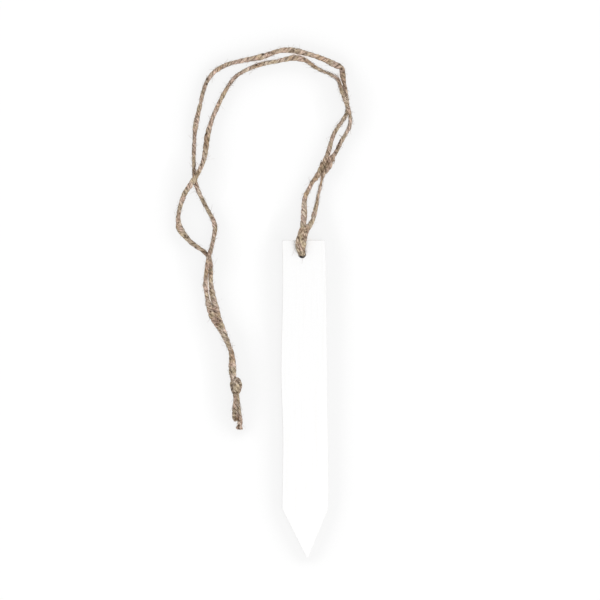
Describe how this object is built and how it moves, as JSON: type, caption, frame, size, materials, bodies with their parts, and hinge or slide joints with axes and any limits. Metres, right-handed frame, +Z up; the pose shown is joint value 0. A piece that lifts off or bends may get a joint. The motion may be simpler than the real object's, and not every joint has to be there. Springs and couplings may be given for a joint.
{
  "type": "plant label stake",
  "caption": "Flat white pointed plant label stake with a jute twine loop hitched through a hole in its head, laid flat with the twine loose.",
  "frame": {"origin": "on the table, under the middle of the stake's length and width, as the stake lies on its back", "axes": "+Z up from the table, +Y from the stake's point to its head, +X to the right as seen from above with the head away"},
  "size_m": [0.0617, 0.1768, 0.0059],
  "materials": {
    "painted_wood": "thin matt white paint over close-grained wood",
    "jute_twine": "hairy two-ply natural jute twine, matt"
  },
  "bodies": {
    "root": {"stake_blade": "painted_wood", "twine_hitch": "jute_twine", "twine_leg_left": "jute_twine", "twine_leg_right": "jute_twine", "end_knot": "jute_twine", "tail_short": "jute_twine", "tail_long": "jute_twine"}
  },
  "joints": []
}
